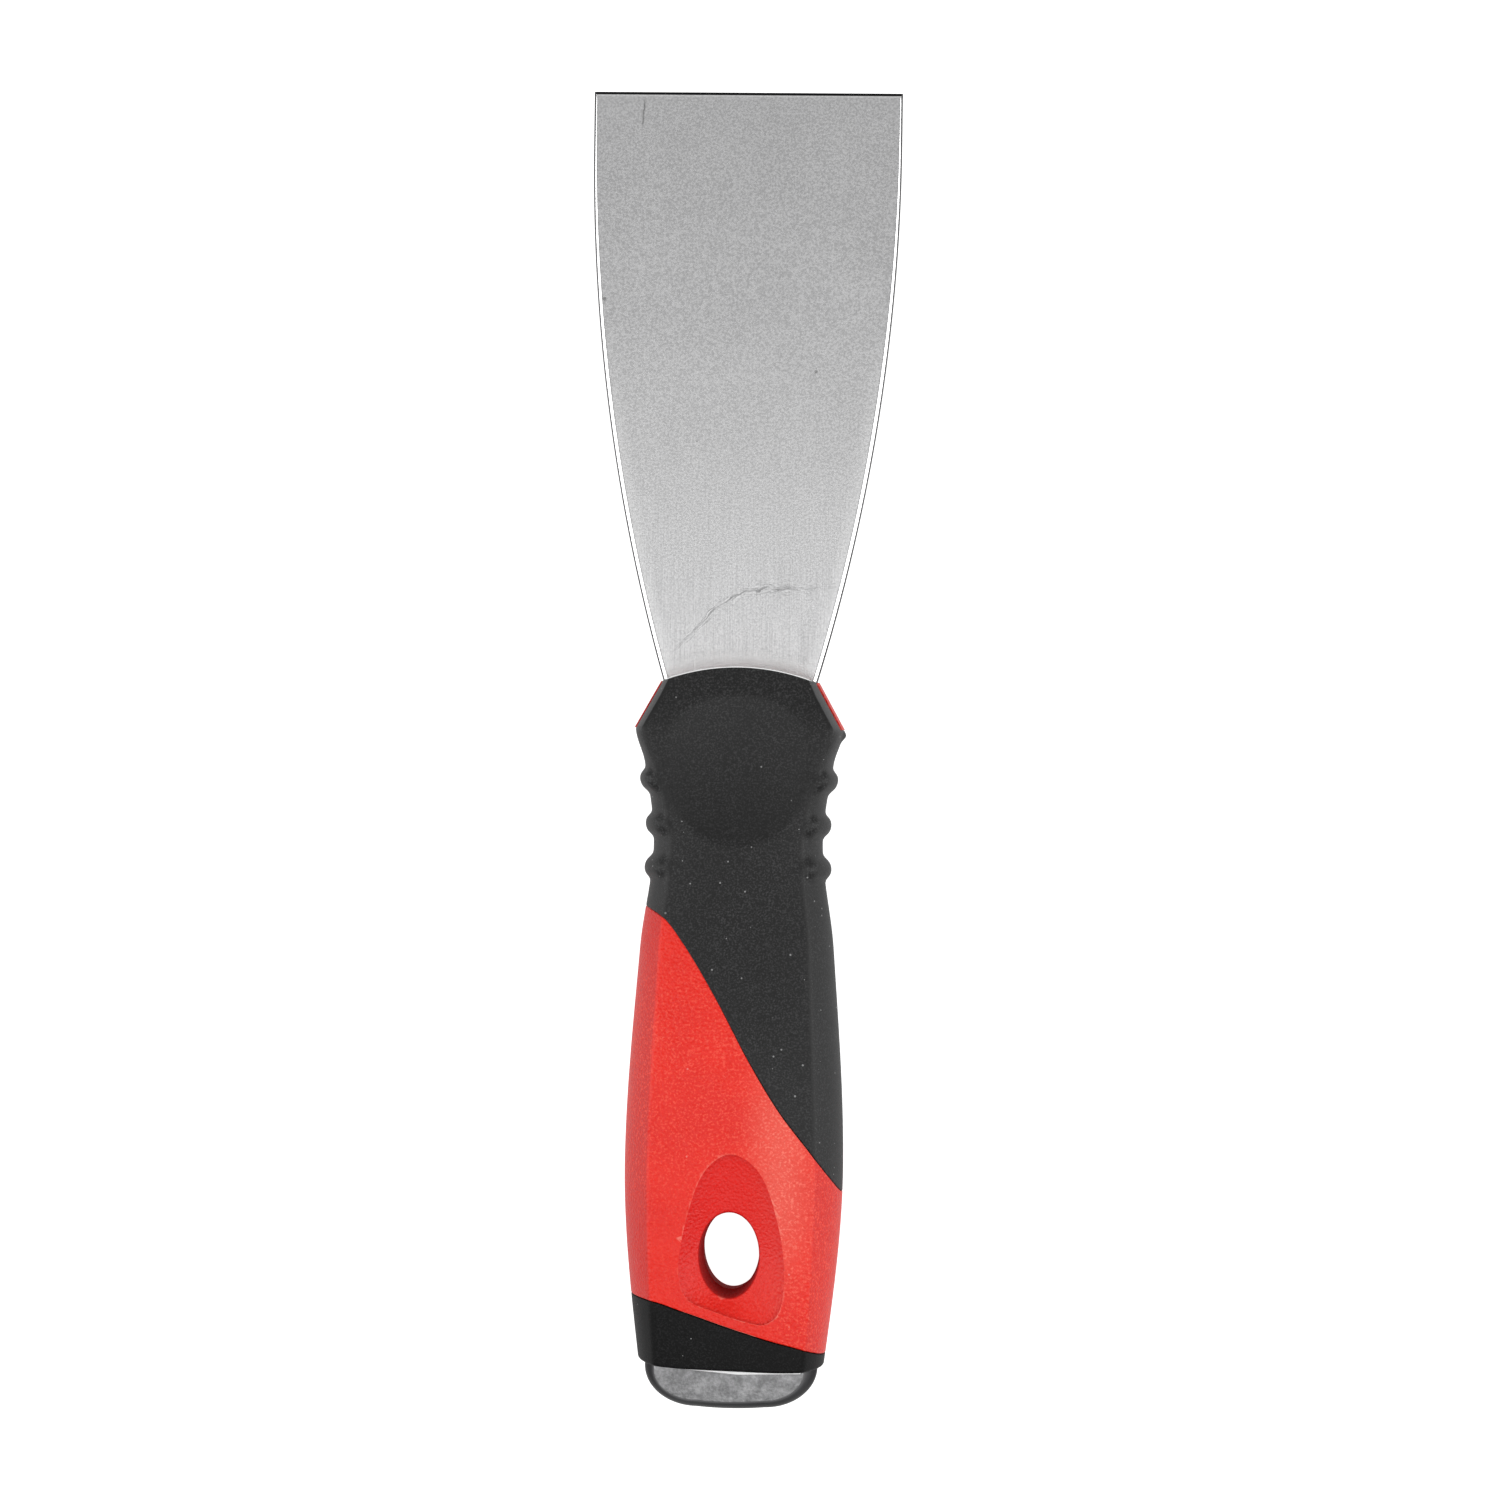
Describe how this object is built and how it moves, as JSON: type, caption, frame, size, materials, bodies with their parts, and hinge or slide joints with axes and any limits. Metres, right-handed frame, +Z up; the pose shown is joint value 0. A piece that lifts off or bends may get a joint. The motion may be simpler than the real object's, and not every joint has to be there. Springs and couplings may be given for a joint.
{
  "type": "flexible putty knife",
  "caption": "Flexible putty knife with a tapered steel blade, a red and black moulded handle with a hang hole, and a metal hammer cap.",
  "frame": {"origin": "bottom centre of the bounding box: under the middle of the knife, on the table that its back rests on", "axes": "+Y along the knife towards the blade's tip, +Z up out of the front face, +X to the right seen from the front with the tip up"},
  "size_m": [0.05, 0.213, 0.0216],
  "materials": {
    "blade_steel": "fine ground satin",
    "red_plastic": "semi-gloss with a fine moulded grain",
    "grip_rubber": "matt soft-touch",
    "collar_rubber": "matt soft-touch",
    "cap_metal": "grainy cast facets with polished edges",
    "pin_steel": "plain"
  },
  "bodies": {
    "root": {"blade": "blade_steel", "handle_core": "red_plastic", "soft_grip": "grip_rubber", "end_collar": "collar_rubber", "hammer_cap": "cap_metal", "cap_pin": "pin_steel"}
  },
  "joints": []
}
